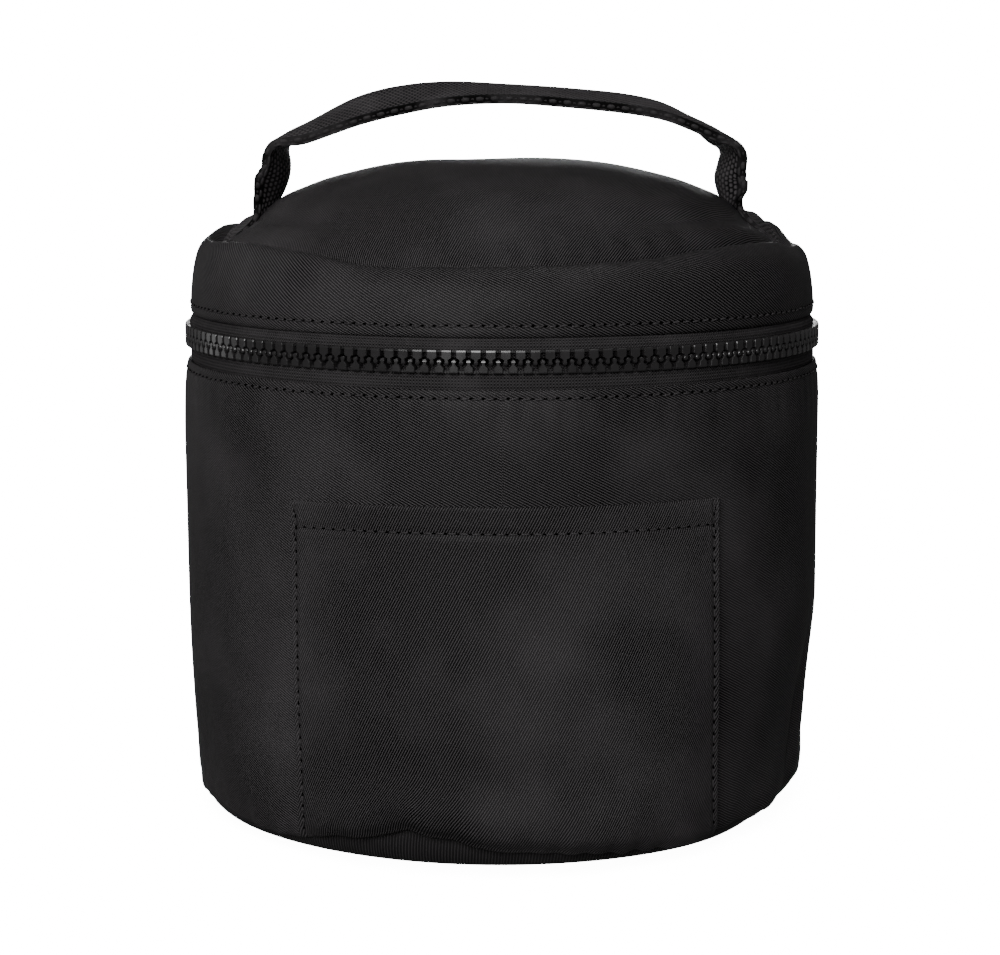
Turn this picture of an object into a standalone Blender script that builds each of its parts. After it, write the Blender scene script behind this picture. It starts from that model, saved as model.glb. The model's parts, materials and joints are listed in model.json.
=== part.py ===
"""A drum-shaped zip-top film bag: padded body, hinged lid, webbing handle, front pocket and zip.

Units are metres. +Z is up, the front faces -Y, and the origin is the middle of the base where it
stands. Profiles are written in millimetres as (radius, height) and scaled by MM. Azimuth is
measured round +Z from the front, so azimuth 90 is the +X side and 180 is the back.
"""

import math

import bmesh
import bpy
from mathutils import Matrix, Vector

MM = 0.001
GAP = 0.3  # clearance between pieces that touch on the real bag
ROUND_STEPS = 48  # flats in a full turn

# Fabric layers, from the outside in.
SHELL = 0.8
LID_SHELL = 0.7
SIDE_FOAM = 3.0
LID_FOAM = 3.5
BAND_FOAM = 2.4
LINING = 0.6
BINDING = 0.5

# Outer face of each cloth, from its top edge down.
BODY_LINE = [(85.9, 121.2), (87.4, 110.0), (87.8, 55.0), (86.6, 21.0), (85.2, 9.0), (83.0, 4.2)]
BASE_LINE = [(82.3, 3.7), (81.4, 1.3), (79.2, 0.0), (0.0, 0.0)]
LID_BAND_PAD_LINE = [(80.8, 149.0), (82.1, 146.0), (82.2, 138.2)]
LINING_RIM = [(83.6, 119.5), (83.6, 113.7)]
LID_LINING_EDGE = [(71.5, 148.6), (77.3, 146.5)]
LID_LINING_BAND_LINE = [(78.2, 146.0), (79.4, 142.0), (79.4, 136.5)]
LID_FOAM_RADIUS = 70.0
LID_LINING_RADIUS = 52.0
BASE_BINDING_LINE = [(81.6, 4.6), (79.6, 3.9)]
LID_BINDING_LINE = [(73.6, 149.6), (77.4, 149.8)]
FLAP_LINE = [(77.5, 139.0), (79.6, 132.8), (80.7, 123.2), (82.6, 117.5), (82.6, 114.3)]
HINGE_PANEL_LINE = [(85.0, 133.7), (85.0, 121.5)]
LID_BAND_LINE = [(76.0, 150.8), (79.0, 152.2), (82.6, 149.8), (83.9, 145.0), (84.4, 134.0)]
LID_TOP_LINE = [(0.0, 174.6), (20.0, 174.2), (40.0, 171.1), (55.0, 166.1), (66.0, 159.8), (73.0, 154.2),
                (75.3, 150.6)]

# Zip: a moulded chain round the front and sides, closed by one slider.
ZIP_HALF_ARC = 150.0  # degrees of tape each side of the front
TEETH_HALF_ARC = 147.0
FLAP_HALF_ARC = 146.0
TEETH = 124
TOOTH_SHARE = 0.416  # of the pitch, so that the two rows mesh with a gap
TEETH_INNER, TEETH_OUTER = 83.0, 86.0
BEAD_HEIGHT = 2.0
TOOTH_HEIGHT = 1.6
LOWER_BEAD_Z = 125.2
UPPER_BEAD_Z = 129.1
TAPE = 0.6
LOWER_TAPE_LINE = [(84.6, 124.9), (84.6, 113.0)]
UPPER_TAPE_LINE = [(83.2, 142.5), (83.4, 134.6), (84.6, 131.4)]
STOP_ARC = (148.0, 149.3)

# Lid hinge and handle.
HINGE_HALF_ARC = 29.6
HINGE_Y, HINGE_Z = 86.9, 127.9
HANDLE_AXIS_Z = 163.3
STRAP_HALF_WIDTH = 12.5
STRAP = 2.2
STRAP_END_X = (66.8, 73.2)
# Middle line of the strap's arch, from the fold at its foot up to the middle: (x, z).
STRAP_LINE = [(65.0, 163.5), (66.2, 167.0), (65.6, 171.5), (62.6, 176.6), (57.0, 180.9), (46.0, 185.6),
              (30.0, 189.2), (14.0, 191.0), (0.0, 191.4)]

# Slider and its pull, drawn at the front and turned to where the slider stops when the zip is shut.
SLIDER_AZIMUTH = 144.0
SLIDER_HALF_LENGTH = 5.5
SLIDER_INNER_FACE, SLIDER_OUTER_FACE = 86.8, 88.0
SLIDER_BACK = (81.3, 82.1)
SLIDER_Z = (122.9, 133.1)
ZIP_Z = 128.15
LIP_INSET, LIP_INNER_FACE, LIP_TOP_Z = 0.6, 85.1, 124.4
BAIL_HALF_LENGTH, BAIL_POST, BAIL_HALF_WIDTH = 3.6, 1.3, 1.2
BAIL_TOP, BAIL_BAR = 90.9, 1.0
OVERLAP = 0.6  # how far united solids reach into each other
PULL_PIVOT_R = 88.95
PULL_PIN = 1.3
PULL_ARM_Z = (1.6, 3.0)
PULL_PLATE_START, PULL_PLATE_END = 4.4, 26.0

# Front pocket.
POCKET_HALF_ARC = 39.3
POCKET_ROWS = (5.4, 9.0, 14.0, 21.0, 38.0, 55.0, 73.0, 92.8)
POCKET_FULLNESS = 6.8

NYLON = (0.020, 0.019, 0.020)
WEBBING = (0.026, 0.026, 0.025)
PLASTIC = (0.022, 0.022, 0.022)
LINING_CLOTH = (0.014, 0.014, 0.015)
FOAM = (0.060, 0.060, 0.062)
BOARD = (0.035, 0.035, 0.036)


def clear_scene():
    for obj in list(bpy.data.objects):
        bpy.data.objects.remove(obj, do_unlink=True)


def material(name, colour, roughness):
    made = bpy.data.materials.new(name)
    made.use_nodes = True
    shader = made.node_tree.nodes["Principled BSDF"]
    shader.inputs["Base Color"].default_value = (*colour, 1.0)
    shader.inputs["Roughness"].default_value = roughness
    shader.inputs["Metallic"].default_value = 0.0
    return made


def place(name, mesh, finish, parent=None):
    """Links a mesh to the bag's collection as a named object."""
    obj = bpy.data.objects.new(name, mesh)
    obj.data.materials.append(finish)
    BAG.objects.link(obj)
    obj.parent = parent
    mesh.shade_smooth()
    mesh.set_sharp_from_angle(angle=math.radians(35))
    return obj


def empty(name, location=(0, 0, 0), azimuth=0.0, parent=None):
    """A pivot that its pieces hang from, turned round +Z by azimuth."""
    made = bpy.data.objects.new(name, None)
    made.location = Vector(location) * MM
    made.rotation_euler = (0, 0, math.radians(azimuth))
    made.empty_display_size = 0.02
    BAG.objects.link(made)
    made.parent = parent
    return made


def mesh_from(bm, name):
    mesh = bpy.data.meshes.new(name)
    bm.to_mesh(mesh)
    bm.free()
    return mesh


def offset_line(line, distance):
    """The line moved inwards by distance along its normals, mitred at its corners."""
    normals = []
    for (r0, z0), (r1, z1) in zip(line, line[1:]):
        length = math.hypot(r1 - r0, z1 - z0)
        normals.append(((z1 - z0) / length, -(r1 - r0) / length))
    moved = []
    for i, (r, z) in enumerate(line):
        before = normals[max(i - 1, 0)]
        after = normals[min(i, len(normals) - 1)]
        share = 1 + before[0] * after[0] + before[1] * after[1]
        moved.append((r + distance * (before[0] + after[0]) / share, z + distance * (before[1] + after[1]) / share))
    if line[0][0] == 0.0:
        moved[0] = (0.0, moved[0][1])
    return moved


def between(line, axis, low, high):
    """The stretch of a line where its radius (axis 0) or height (axis 1) lies from low to high."""
    kept = []
    for a, b in zip(line, line[1:]):
        span = b[axis] - a[axis]
        shares = [0.0, 1.0]
        if span:
            shares += [s for s in ((low - a[axis]) / span, (high - a[axis]) / span) if 0 < s < 1]
        for share in sorted(shares):
            point = (a[0] + (b[0] - a[0]) * share, a[1] + (b[1] - a[1]) * share)
            inside = low - 1e-6 <= point[axis] <= high + 1e-6
            if inside and (not kept or math.dist(point, kept[-1]) > 1e-3):
                kept.append(point)
    return kept


def height_at(line, radius):
    """The height of a line at a radius, for a line whose radius only grows."""
    for (r0, z0), (r1, z1) in zip(line, line[1:]):
        if r0 <= radius <= r1:
            return z0 + (z1 - z0) * (radius - r0) / (r1 - r0)
    return line[-1][1]


def radius_at(line, height):
    """The radius of a line at a height, for a line whose height only falls."""
    for (r0, z0), (r1, z1) in zip(line, line[1:]):
        if z1 <= height <= z0:
            return r0 + (r1 - r0) * (height - z0) / (z1 - z0)
    return line[-1][0]


def turned_shell(name, line, thickness, finish, arc=(0.0, 360.0), parent=None, step=360.0 / ROUND_STEPS):
    """A sheet turned round +Z from its outer line, with its thickness inwards. arc is in azimuths."""
    start = math.radians(arc[0])
    bm = bmesh.new()
    points = [bm.verts.new((r * MM * math.sin(start), -r * MM * math.cos(start), z * MM)) for r, z in line]
    for a, b in zip(points, points[1:]):
        bm.edges.new((a, b))
    obj = place(name, mesh_from(bm, name), finish, parent)
    screw = obj.modifiers.new("Turn", "SCREW")
    screw.axis = "Z"
    screw.angle = math.radians(arc[1] - arc[0])
    screw.steps = screw.render_steps = max(1, round((arc[1] - arc[0]) / step))
    screw.use_merge_vertices = True
    screw.merge_threshold = 0.00005
    screw.use_smooth_shade = True
    solid = obj.modifiers.new("Thickness", "SOLIDIFY")
    solid.thickness = thickness * MM
    solid.offset = -1.0
    solid.use_even_offset = True
    return obj


def disc(name, radius, low, high, finish):
    bm = bmesh.new()
    bmesh.ops.create_cone(bm, cap_ends=True, segments=ROUND_STEPS, radius1=radius * MM, radius2=radius * MM,
                          depth=(high - low) * MM)
    bmesh.ops.translate(bm, verts=bm.verts, vec=(0, 0, (low + high) / 2 * MM))
    return place(name, mesh_from(bm, name), finish)


def arc_block(bm, radii, heights, azimuths):
    """Adds a closed block between two radii, two heights and two azimuths."""
    for vert in bmesh.ops.create_cube(bm, size=1.0)["verts"]:
        radius = radii[vert.co.y < 0] * MM
        azimuth = math.radians(azimuths[vert.co.x > 0])
        vert.co = Vector((radius * math.sin(azimuth), -radius * math.cos(azimuth), heights[vert.co.z > 0] * MM))


def box(bm, low, high):
    """Adds a box between two corners, in millimetres."""
    for vert in bmesh.ops.create_cube(bm, size=1.0)["verts"]:
        vert.co = Vector([(high if c > 0 else low)[i] * MM for i, c in enumerate(vert.co)])


def join_boxes(target, boxes):
    """Unites a solid with boxes that overlap it, each given as (low corner, high corner) in millimetres."""
    for i, (low, high) in enumerate(boxes):
        bm = bmesh.new()
        box(bm, low, high)
        name = f"{target.name}_join{i}"
        piece = bpy.data.objects.new(name, mesh_from(bm, name))
        CUTTERS.objects.link(piece)
        piece.parent = target.parent
        piece.hide_render = True
        piece.display_type = "WIRE"
        join = target.modifiers.new(name, "BOOLEAN")
        join.operation = "UNION"
        join.solver = "EXACT"
        join.object = piece


def make_body():
    """The padded drum: cloth, foam and lining round the side, and the layers of its base."""
    foam_line = offset_line(BODY_LINE, SHELL + GAP)
    lining_line = offset_line(BODY_LINE, SHELL + GAP + SIDE_FOAM + GAP)
    turned_shell("side_panel", BODY_LINE, SHELL, CLOTH)
    turned_shell("side_padding", between(foam_line, 1, 5.4, 108.0), SIDE_FOAM, PAD)
    turned_shell("side_lining", [*LINING_RIM, *between(lining_line, 1, 8.0, 108.5)], LINING, INSIDE)
    turned_shell("base_panel", BASE_LINE, SHELL, CLOTH)
    bottom = SHELL + GAP
    for name, radius, thickness, finish in BASE_LAYERS:
        disc(name, radius, bottom, bottom + thickness, finish)
        bottom += thickness + GAP
    turned_shell("base_seam_binding", BASE_BINDING_LINE, BINDING, INSIDE)


def make_pocket():
    """A patch pocket on the front, sewn down both sides and along its foot, open at its top edge."""
    rows = len(POCKET_ROWS) - 1
    bm = bmesh.new()
    bmesh.ops.create_grid(bm, x_segments=16, y_segments=rows, size=1.0)
    for vert in bm.verts:
        across = vert.co.x
        height = POCKET_ROWS[round((vert.co.y + 1) / 2 * rows)]
        up = (height - POCKET_ROWS[0]) / (POCKET_ROWS[-1] - POCKET_ROWS[0])
        foot = min(1.0, up / 0.18)
        swell = math.cos(across * math.pi / 2) ** 1.2 * math.sin(foot * math.pi / 2) * (1 - 0.12 * up)
        radius = radius_at(BODY_LINE, height) + GAP + 0.1 + POCKET_FULLNESS * swell
        azimuth = math.radians(across * POCKET_HALF_ARC)
        vert.co = Vector((radius * math.sin(azimuth), -radius * math.cos(azimuth), height)) * MM
    pocket = place("front_pocket", mesh_from(bm, "front_pocket"), CLOTH)
    solid = pocket.modifiers.new("Thickness", "SOLIDIFY")
    solid.thickness = SHELL * MM
    solid.offset = 1.0
    solid.use_even_offset = True


def zip_row(name, bead_z, tooth_height, shift, parent=None):
    """A row of moulded teeth on its bead. A negative tooth_height points the teeth down."""
    pitch = 2 * TEETH_HALF_ARC / TEETH
    tooth = pitch * TOOTH_SHARE
    stations = []
    for i in range(TEETH):
        start = -TEETH_HALF_ARC + (i + shift) * pitch
        stations += [(start, start + tooth, True), (start + tooth, start + pitch, False)]
    stations.pop()
    bm = bmesh.new()
    first = math.radians(stations[0][0])
    corners = [(TEETH_INNER, 0), (TEETH_OUTER, 0), (TEETH_OUTER, BEAD_HEIGHT), (TEETH_INNER, BEAD_HEIGHT)]
    ring = [bm.verts.new(Vector((r * math.sin(first), -r * math.cos(first), bead_z + up)) * MM) for r, up in corners]
    end = bm.faces.new(ring)
    tips = []
    for i, (start, stop, is_tooth) in enumerate(stations):
        made = bmesh.ops.extrude_face_region(bm, geom=[end])["geom"]
        if i:
            bm.faces.remove(end)
        verts = [g for g in made if isinstance(g, bmesh.types.BMVert)]
        end = next(g for g in made if isinstance(g, bmesh.types.BMFace))
        bmesh.ops.rotate(bm, verts=verts, cent=(0, 0, 0), matrix=Matrix.Rotation(math.radians(stop - start), 3, "Z"))
        if is_tooth:
            level = (bead_z + (BEAD_HEIGHT if tooth_height > 0 else 0)) * MM
            sides = {f for v in verts for f in v.link_faces if f is not end}
            tips.append(next(f for f in sides if all(abs(v.co.z - level) < 1e-6 for v in f.verts)))
    grown = bmesh.ops.extrude_discrete_faces(bm, faces=tips)["faces"]
    bmesh.ops.translate(bm, verts=list({v for f in grown for v in f.verts}), vec=(0, 0, tooth_height * MM))
    bmesh.ops.recalc_face_normals(bm, faces=bm.faces)
    return place(name, mesh_from(bm, name), HARD, parent)


def stop_block(name, heights, azimuths):
    bm = bmesh.new()
    arc_block(bm, (TEETH_INNER, TEETH_OUTER), heights, azimuths)
    bmesh.ops.recalc_face_normals(bm, faces=bm.faces)
    return place(name, mesh_from(bm, name), HARD)


def make_zip():
    """Both tapes, both rows of teeth, the stops at their ends and the flap behind them."""
    tape_arc = (-ZIP_HALF_ARC, ZIP_HALF_ARC)
    lower_top = LOWER_BEAD_Z + BEAD_HEIGHT
    upper_top = UPPER_BEAD_Z + BEAD_HEIGHT
    turned_shell("lower_zip_tape", LOWER_TAPE_LINE, TAPE, TAPE_CLOTH, tape_arc)
    turned_shell("upper_zip_tape", UPPER_TAPE_LINE, TAPE, TAPE_CLOTH, tape_arc)
    zip_row("lower_zip_teeth", LOWER_BEAD_Z, TOOTH_HEIGHT, 0.0)
    zip_row("upper_zip_teeth", UPPER_BEAD_Z, -TOOTH_HEIGHT, 0.5)
    stop_block("zip_top_stop_lower", (LOWER_BEAD_Z, lower_top), STOP_ARC)
    stop_block("zip_top_stop_upper", (UPPER_BEAD_Z, upper_top), STOP_ARC)
    stop_block("zip_bottom_stop", (LOWER_BEAD_Z, upper_top - GAP), (-STOP_ARC[1], -STOP_ARC[0]))
    turned_shell("light_flap", FLAP_LINE, LINING, INSIDE, (-FLAP_HALF_ARC, FLAP_HALF_ARC))
    back = (180 - HINGE_HALF_ARC, 180 + HINGE_HALF_ARC)
    turned_shell("hinge_panel", HINGE_PANEL_LINE, SHELL, CLOTH, back)


def make_lid(base):
    """The lid: a domed top and a side band, each padded, over one lining."""
    turned_shell("lid_band", LID_BAND_LINE, LID_SHELL, CLOTH, parent=base)
    turned_shell("lid_top_panel", LID_TOP_LINE, LID_SHELL, CLOTH, parent=base)
    foam_line = offset_line(LID_TOP_LINE, LID_SHELL + GAP)
    lining_line = offset_line(LID_TOP_LINE, LID_SHELL + GAP + LID_FOAM + GAP)
    turned_shell("lid_padding", between(foam_line, 0, 0.0, LID_FOAM_RADIUS), LID_FOAM, PAD, parent=base)
    turned_shell("lid_band_padding", LID_BAND_PAD_LINE, BAND_FOAM, PAD, parent=base)
    top_lining = [*between(lining_line, 0, 0.0, LID_LINING_RADIUS), *LID_LINING_EDGE]
    turned_shell("lid_top_lining", top_lining, LINING, INSIDE, parent=base)
    turned_shell("lid_band_lining", LID_LINING_BAND_LINE, LINING, INSIDE, parent=base)
    turned_shell("lid_seam_binding", LID_BINDING_LINE, BINDING, INSIDE, parent=base)


def smooth_points(points, per_span):
    """Points on a Catmull-Rom curve through the given (x, z) points."""
    ends = [points[0], *points, points[-1]]
    made = []
    for a, b, c, d in zip(ends, ends[1:], ends[2:], ends[3:]):
        for k in range(per_span):
            t = k / per_span
            made.append(tuple(
                0.5 * (2 * b[i] + (c[i] - a[i]) * t + (2 * a[i] - 5 * b[i] + 4 * c[i] - d[i]) * t ** 2
                       + (3 * b[i] - a[i] - 3 * c[i] + d[i]) * t ** 3)
                for i in (0, 1)))
    return [*made, points[-1]]


def make_handle(base, swing):
    """A webbing strap: its arch turns on the folds at its feet, and its ends lie sewn to the lid."""
    half = smooth_points(STRAP_LINE, 2)
    line = half + [(-x, z) for x, z in reversed(half[:-1])]
    axis = Vector(swing.location) / MM
    bm = bmesh.new()
    pairs = []
    for x, z in line:
        rise = z - HANDLE_AXIS_Z
        half_width = min(STRAP_HALF_WIDTH, max(1.6, 0.9 * rise))
        pairs.append([bm.verts.new((Vector((x, side * half_width, z)) - axis) * MM) for side in (-1, 1)])
    for (a, b), (c, d) in zip(pairs, pairs[1:]):
        bm.faces.new((a, b, d, c))
    strap = place("handle_strap", mesh_from(bm, "handle_strap"), STRAP_CLOTH, swing)
    solid = strap.modifiers.new("Thickness", "SOLIDIFY")
    solid.thickness = STRAP * MM
    solid.offset = 0.0
    solid.use_even_offset = True
    for side, name in ((-1, "handle_end_left"), (1, "handle_end_right")):
        bm = bmesh.new()
        bmesh.ops.create_grid(bm, x_segments=4, y_segments=8, size=1.0)
        for vert in bm.verts:
            x = side * (STRAP_END_X[0] + (STRAP_END_X[1] - STRAP_END_X[0]) * (vert.co.x + 1) / 2)
            y = vert.co.y * STRAP_HALF_WIDTH
            z = height_at(LID_TOP_LINE, math.hypot(x, y)) + 0.6
            vert.co = Vector((x, y, z)) * MM
        bmesh.ops.recalc_face_normals(bm, faces=bm.faces)
        if sum(f.normal.z for f in bm.faces) < 0:
            bmesh.ops.reverse_faces(bm, faces=bm.faces)
        end = place(name, mesh_from(bm, name), STRAP_CLOTH, base)
        solid = end.modifiers.new("Thickness", "SOLIDIFY")
        solid.thickness = 1.2 * MM
        solid.offset = 1.0


def make_slider(travel):
    """The slider: a curved outer shield with a lower lip and a bail, and the plate behind the teeth."""
    half_arc = math.degrees(SLIDER_HALF_LENGTH / SLIDER_OUTER_FACE)
    low, high = SLIDER_Z
    shield_line = [(SLIDER_OUTER_FACE, high), (SLIDER_OUTER_FACE, low)]
    body = turned_shell("slider_body", shield_line, SLIDER_OUTER_FACE - SLIDER_INNER_FACE, HARD, (-half_arc, half_arc),
                        travel, step=half_arc / 2)
    reach = SLIDER_HALF_LENGTH - LIP_INSET
    boxes = [((-reach, -SLIDER_INNER_FACE - OVERLAP, low + 0.1), (reach, -LIP_INNER_FACE, LIP_TOP_Z))]
    bail_low, bail_high = ZIP_Z - BAIL_HALF_WIDTH, ZIP_Z + BAIL_HALF_WIDTH
    boxes.append(((-BAIL_HALF_LENGTH, -BAIL_TOP, bail_low), (BAIL_HALF_LENGTH, -BAIL_TOP + BAIL_BAR, bail_high)))
    for side in (-1, 1):
        near, far = sorted((side * BAIL_HALF_LENGTH, side * (BAIL_HALF_LENGTH - BAIL_POST)))
        boxes.append(((near, -BAIL_TOP, bail_low), (far, -SLIDER_OUTER_FACE + OVERLAP, bail_high)))
    join_boxes(body, boxes)
    turned_shell("slider_back_plate", [(SLIDER_BACK[1], high), (SLIDER_BACK[1], low)], SLIDER_BACK[1] - SLIDER_BACK[0],
                 HARD, (-half_arc, half_arc), travel, step=half_arc / 2)


def make_pull(pivot):
    """The pull tab: a pin under the bail, two arms past its posts and a flat tab."""
    half_pin = PULL_PIN / 2
    inner, outer = PULL_ARM_Z
    bm = bmesh.new()
    box(bm, (-half_pin, -half_pin, -outer), (half_pin, half_pin, outer))
    tab = place("pull_tab", mesh_from(bm, "pull_tab"), HARD, pivot)
    arms = []
    for side in (-1, 1):
        low, high = sorted((side * inner, side * outer))
        arms.append(((-half_pin, -half_pin, low), (PULL_PLATE_START + OVERLAP, half_pin, high)))
    join_boxes(tab, [*arms, ((PULL_PLATE_START, -half_pin, -outer), (PULL_PLATE_END, half_pin, outer))])


clear_scene()
BAG = bpy.data.collections.new("film_bag")
CUTTERS = bpy.data.collections.new("film_bag_cutters")
for collection in (BAG, CUTTERS):
    bpy.context.scene.collection.children.link(collection)
CUTTERS.hide_render = True

CLOTH = material("nylon_twill", NYLON, 0.62)
TAPE_CLOTH = material("zip_tape_cloth", NYLON, 0.75)
STRAP_CLOTH = material("webbing", WEBBING, 0.72)
INSIDE = material("lining_cloth", LINING_CLOTH, 0.7)
PAD = material("foam", FOAM, 0.9)
STIFFENER = material("board", BOARD, 0.55)
HARD = material("moulded_plastic", PLASTIC, 0.32)

# Name, radius, thickness and finish of the layers on the base cloth, from the bottom up.
BASE_LAYERS = [("base_board", 78.4, 2.0, STIFFENER), ("base_padding", 78.0, 3.0, PAD),
               ("base_lining", 77.6, LINING, INSIDE)]

LID_HINGE = empty("lid_hinge_pivot", (0, HINGE_Y, HINGE_Z))
LID_BASE = empty("lid_drawing_origin", (0, -HINGE_Y, -HINGE_Z), parent=LID_HINGE)
HANDLE_SWING = empty("handle_swing_pivot", (0, 0, HANDLE_AXIS_Z), parent=LID_BASE)
SLIDER_TRAVEL = empty("slider_travel_pivot", azimuth=SLIDER_AZIMUTH)
PULL_FLIP = empty("pull_flip_pivot", (0, -PULL_PIVOT_R, ZIP_Z), parent=SLIDER_TRAVEL)

make_body()
make_pocket()
make_zip()
make_lid(LID_BASE)
make_handle(LID_BASE, HANDLE_SWING)
make_slider(SLIDER_TRAVEL)
make_pull(PULL_FLIP)
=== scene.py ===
import json
import math

import bpy
import numpy as np
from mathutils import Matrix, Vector


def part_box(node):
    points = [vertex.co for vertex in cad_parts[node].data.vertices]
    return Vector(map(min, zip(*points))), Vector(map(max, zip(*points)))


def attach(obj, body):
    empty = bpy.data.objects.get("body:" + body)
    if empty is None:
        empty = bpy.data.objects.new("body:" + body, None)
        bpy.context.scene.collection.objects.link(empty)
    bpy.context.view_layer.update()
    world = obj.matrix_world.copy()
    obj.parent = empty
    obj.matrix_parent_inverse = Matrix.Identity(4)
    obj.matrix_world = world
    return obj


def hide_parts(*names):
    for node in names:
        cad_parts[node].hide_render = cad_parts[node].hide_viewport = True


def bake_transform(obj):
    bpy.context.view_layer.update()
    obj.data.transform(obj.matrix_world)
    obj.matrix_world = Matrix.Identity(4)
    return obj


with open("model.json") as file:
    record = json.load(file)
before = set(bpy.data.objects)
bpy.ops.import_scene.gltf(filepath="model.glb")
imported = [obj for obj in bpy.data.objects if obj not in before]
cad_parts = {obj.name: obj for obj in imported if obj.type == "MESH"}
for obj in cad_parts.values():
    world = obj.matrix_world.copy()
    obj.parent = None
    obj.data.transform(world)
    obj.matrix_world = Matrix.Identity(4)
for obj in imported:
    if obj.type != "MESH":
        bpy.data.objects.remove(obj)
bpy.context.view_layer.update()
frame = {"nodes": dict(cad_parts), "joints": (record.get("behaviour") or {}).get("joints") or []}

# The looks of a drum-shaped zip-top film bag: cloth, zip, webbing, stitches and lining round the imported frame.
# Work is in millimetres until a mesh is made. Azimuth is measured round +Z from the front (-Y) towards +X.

MM = 0.001
FULL = 2 * math.pi


def node_box(node):
    low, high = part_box(node)
    return np.array(low) / MM, np.array(high) / MM


def node_radius(node, low_z, high_z):
    """The outer radius of a CAD node between two heights."""
    points = np.array([v.co for v in frame["nodes"][node].data.vertices]) / MM
    inside = points[(points[:, 2] >= low_z) & (points[:, 2] <= high_z)]
    return float(np.hypot(inside[:, 0], inside[:, 1]).max())


# Places read from the frame.
BODY_TOP = node_box("side_panel")[1][2]
BODY_R = node_box("side_panel")[1][0]
BODY_TOP_R = node_radius("side_panel", BODY_TOP - 0.5, BODY_TOP + 0.5)
BAND_LOW, BAND_HIGH = node_box("lid_band")[0][2], node_box("lid_band")[1][2]
BAND_R = node_box("lid_band")[1][0]
DOME_TOP = node_box("lid_top_panel")[1][2]
DOME_R, DOME_LOW = node_box("lid_top_panel")[1][0], node_box("lid_top_panel")[0][2]
TEETH_R = node_box("lower_zip_teeth")[1][0]
CHAIN_LOW, CHAIN_HIGH = node_box("lower_zip_teeth")[0][2], node_box("upper_zip_teeth")[1][2]
TAPE_R = node_box("lower_zip_tape")[1][0]
POCKET_TOP = node_box("front_pocket")[1][2]
FLAP_LOW, FLAP_HIGH = node_box("light_flap")[0][2], node_box("light_flap")[1][2]
STRAP_HALF = node_box("handle_strap")[1][1]
JOINTS = {joint["name"]: joint for joint in frame["joints"]}
HINGE_Z = JOINTS["lid_hinge"]["pos_m"][2] / MM
HINGE_HALF_ARC = math.asin(node_box("hinge_panel")[1][0] / node_box("hinge_panel")[1][1])
PULL_AT = np.array(JOINTS["pull_flip"]["pos_m"]) / MM
SLIDER_AZIMUTH = math.atan2(PULL_AT[0], -PULL_AT[1])

TOOTH_PITCH = 3.6
STITCH_PITCH = 3
TEETH_HALF_ARC = math.radians(147)
FLOAT_LENGTH, FLOAT_WIDTH, FLOAT_SHIFT = 1.5, 2, 0.5  # one float of the webbing's weave, and the next row's shift


# ---- mesh helpers

def put(name, data):
    """A new object in the scene."""
    piece = bpy.data.objects.new(name, data)
    bpy.context.scene.collection.objects.link(piece)
    return piece


def new_mesh(name, points, faces, uv=None, smooth=True):
    """A mesh object from points in millimetres; uv is per corner, in millimetres of cloth."""
    faces = np.asarray(faces)
    mesh = bpy.data.meshes.new(name)
    mesh.vertices.add(len(points))
    mesh.vertices.foreach_set("co", (np.asarray(points, float) * MM).astype(np.float32).ravel())
    mesh.loops.add(faces.size)
    mesh.loops.foreach_set("vertex_index", faces.astype(np.int32).ravel())
    mesh.polygons.add(len(faces))
    mesh.polygons.foreach_set("loop_start", np.arange(0, faces.size, faces.shape[1], dtype=np.int32))
    mesh.update(calc_edges=True)
    mesh.validate()
    if uv is not None:
        layer = mesh.uv_layers.new(name="cloth")
        layer.data.foreach_set("uv", np.asarray(uv, np.float32).ravel())
    if smooth:
        mesh.shade_smooth()
    else:
        mesh.shade_flat()
    return put(name, mesh)


def grid(name, points, uv, wrap=False):
    """A sheet from rows and columns of points. A wrapped sheet closes on itself along its columns."""
    rows, columns = points.shape[:2]
    i, j = np.meshgrid(np.arange(rows - 1), np.arange(columns if wrap else columns - 1), indexing="ij")
    after = (j + 1) % columns
    faces = np.stack([i * columns + j, (i + 1) * columns + j, (i + 1) * columns + after, i * columns + after], -1)
    corners = np.stack([uv[i, j], uv[i + 1, j], uv[i + 1, j + 1], uv[i, j + 1]], 2)
    return new_mesh(name, points.reshape(-1, 3), faces.reshape(-1, 4), corners.reshape(-1, 2))


def smooth_line(points, step):
    """Points about a step apart on a smooth curve through the given ones, at least two in each span."""
    points = np.asarray(points, float)
    padded = np.vstack([2 * points[0] - points[1], points, 2 * points[-1] - points[-2]])
    made = []
    for a, b, c, d in zip(padded, padded[1:], padded[2:], padded[3:]):
        knots = np.cumsum([0] + [max(np.linalg.norm(q - p), 1e-6) ** 0.5 for p, q in ((a, b), (b, c), (c, d))])
        t = np.linspace(knots[1], knots[2], max(3, math.ceil(np.linalg.norm(c - b) / step) + 1))[:-1, None]
        ab = (knots[1] - t) / (knots[1] - knots[0]) * a + (t - knots[0]) / (knots[1] - knots[0]) * b
        bc = (knots[2] - t) / (knots[2] - knots[1]) * b + (t - knots[1]) / (knots[2] - knots[1]) * c
        cd = (knots[3] - t) / (knots[3] - knots[2]) * c + (t - knots[2]) / (knots[3] - knots[2]) * d
        abc = (knots[2] - t) / (knots[2] - knots[0]) * ab + (t - knots[0]) / (knots[2] - knots[0]) * bc
        bcd = (knots[3] - t) / (knots[3] - knots[1]) * bc + (t - knots[1]) / (knots[3] - knots[1]) * cd
        made.append((knots[2] - t) / (knots[2] - knots[1]) * abc + (t - knots[1]) / (knots[2] - knots[1]) * bcd)
    return np.vstack([*made, points[-1:]])


def offset(radius, height, steps):
    """A (radius, height) line from its steps away from one place."""
    return [(radius + x, height + z) for x, z in steps]


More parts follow.
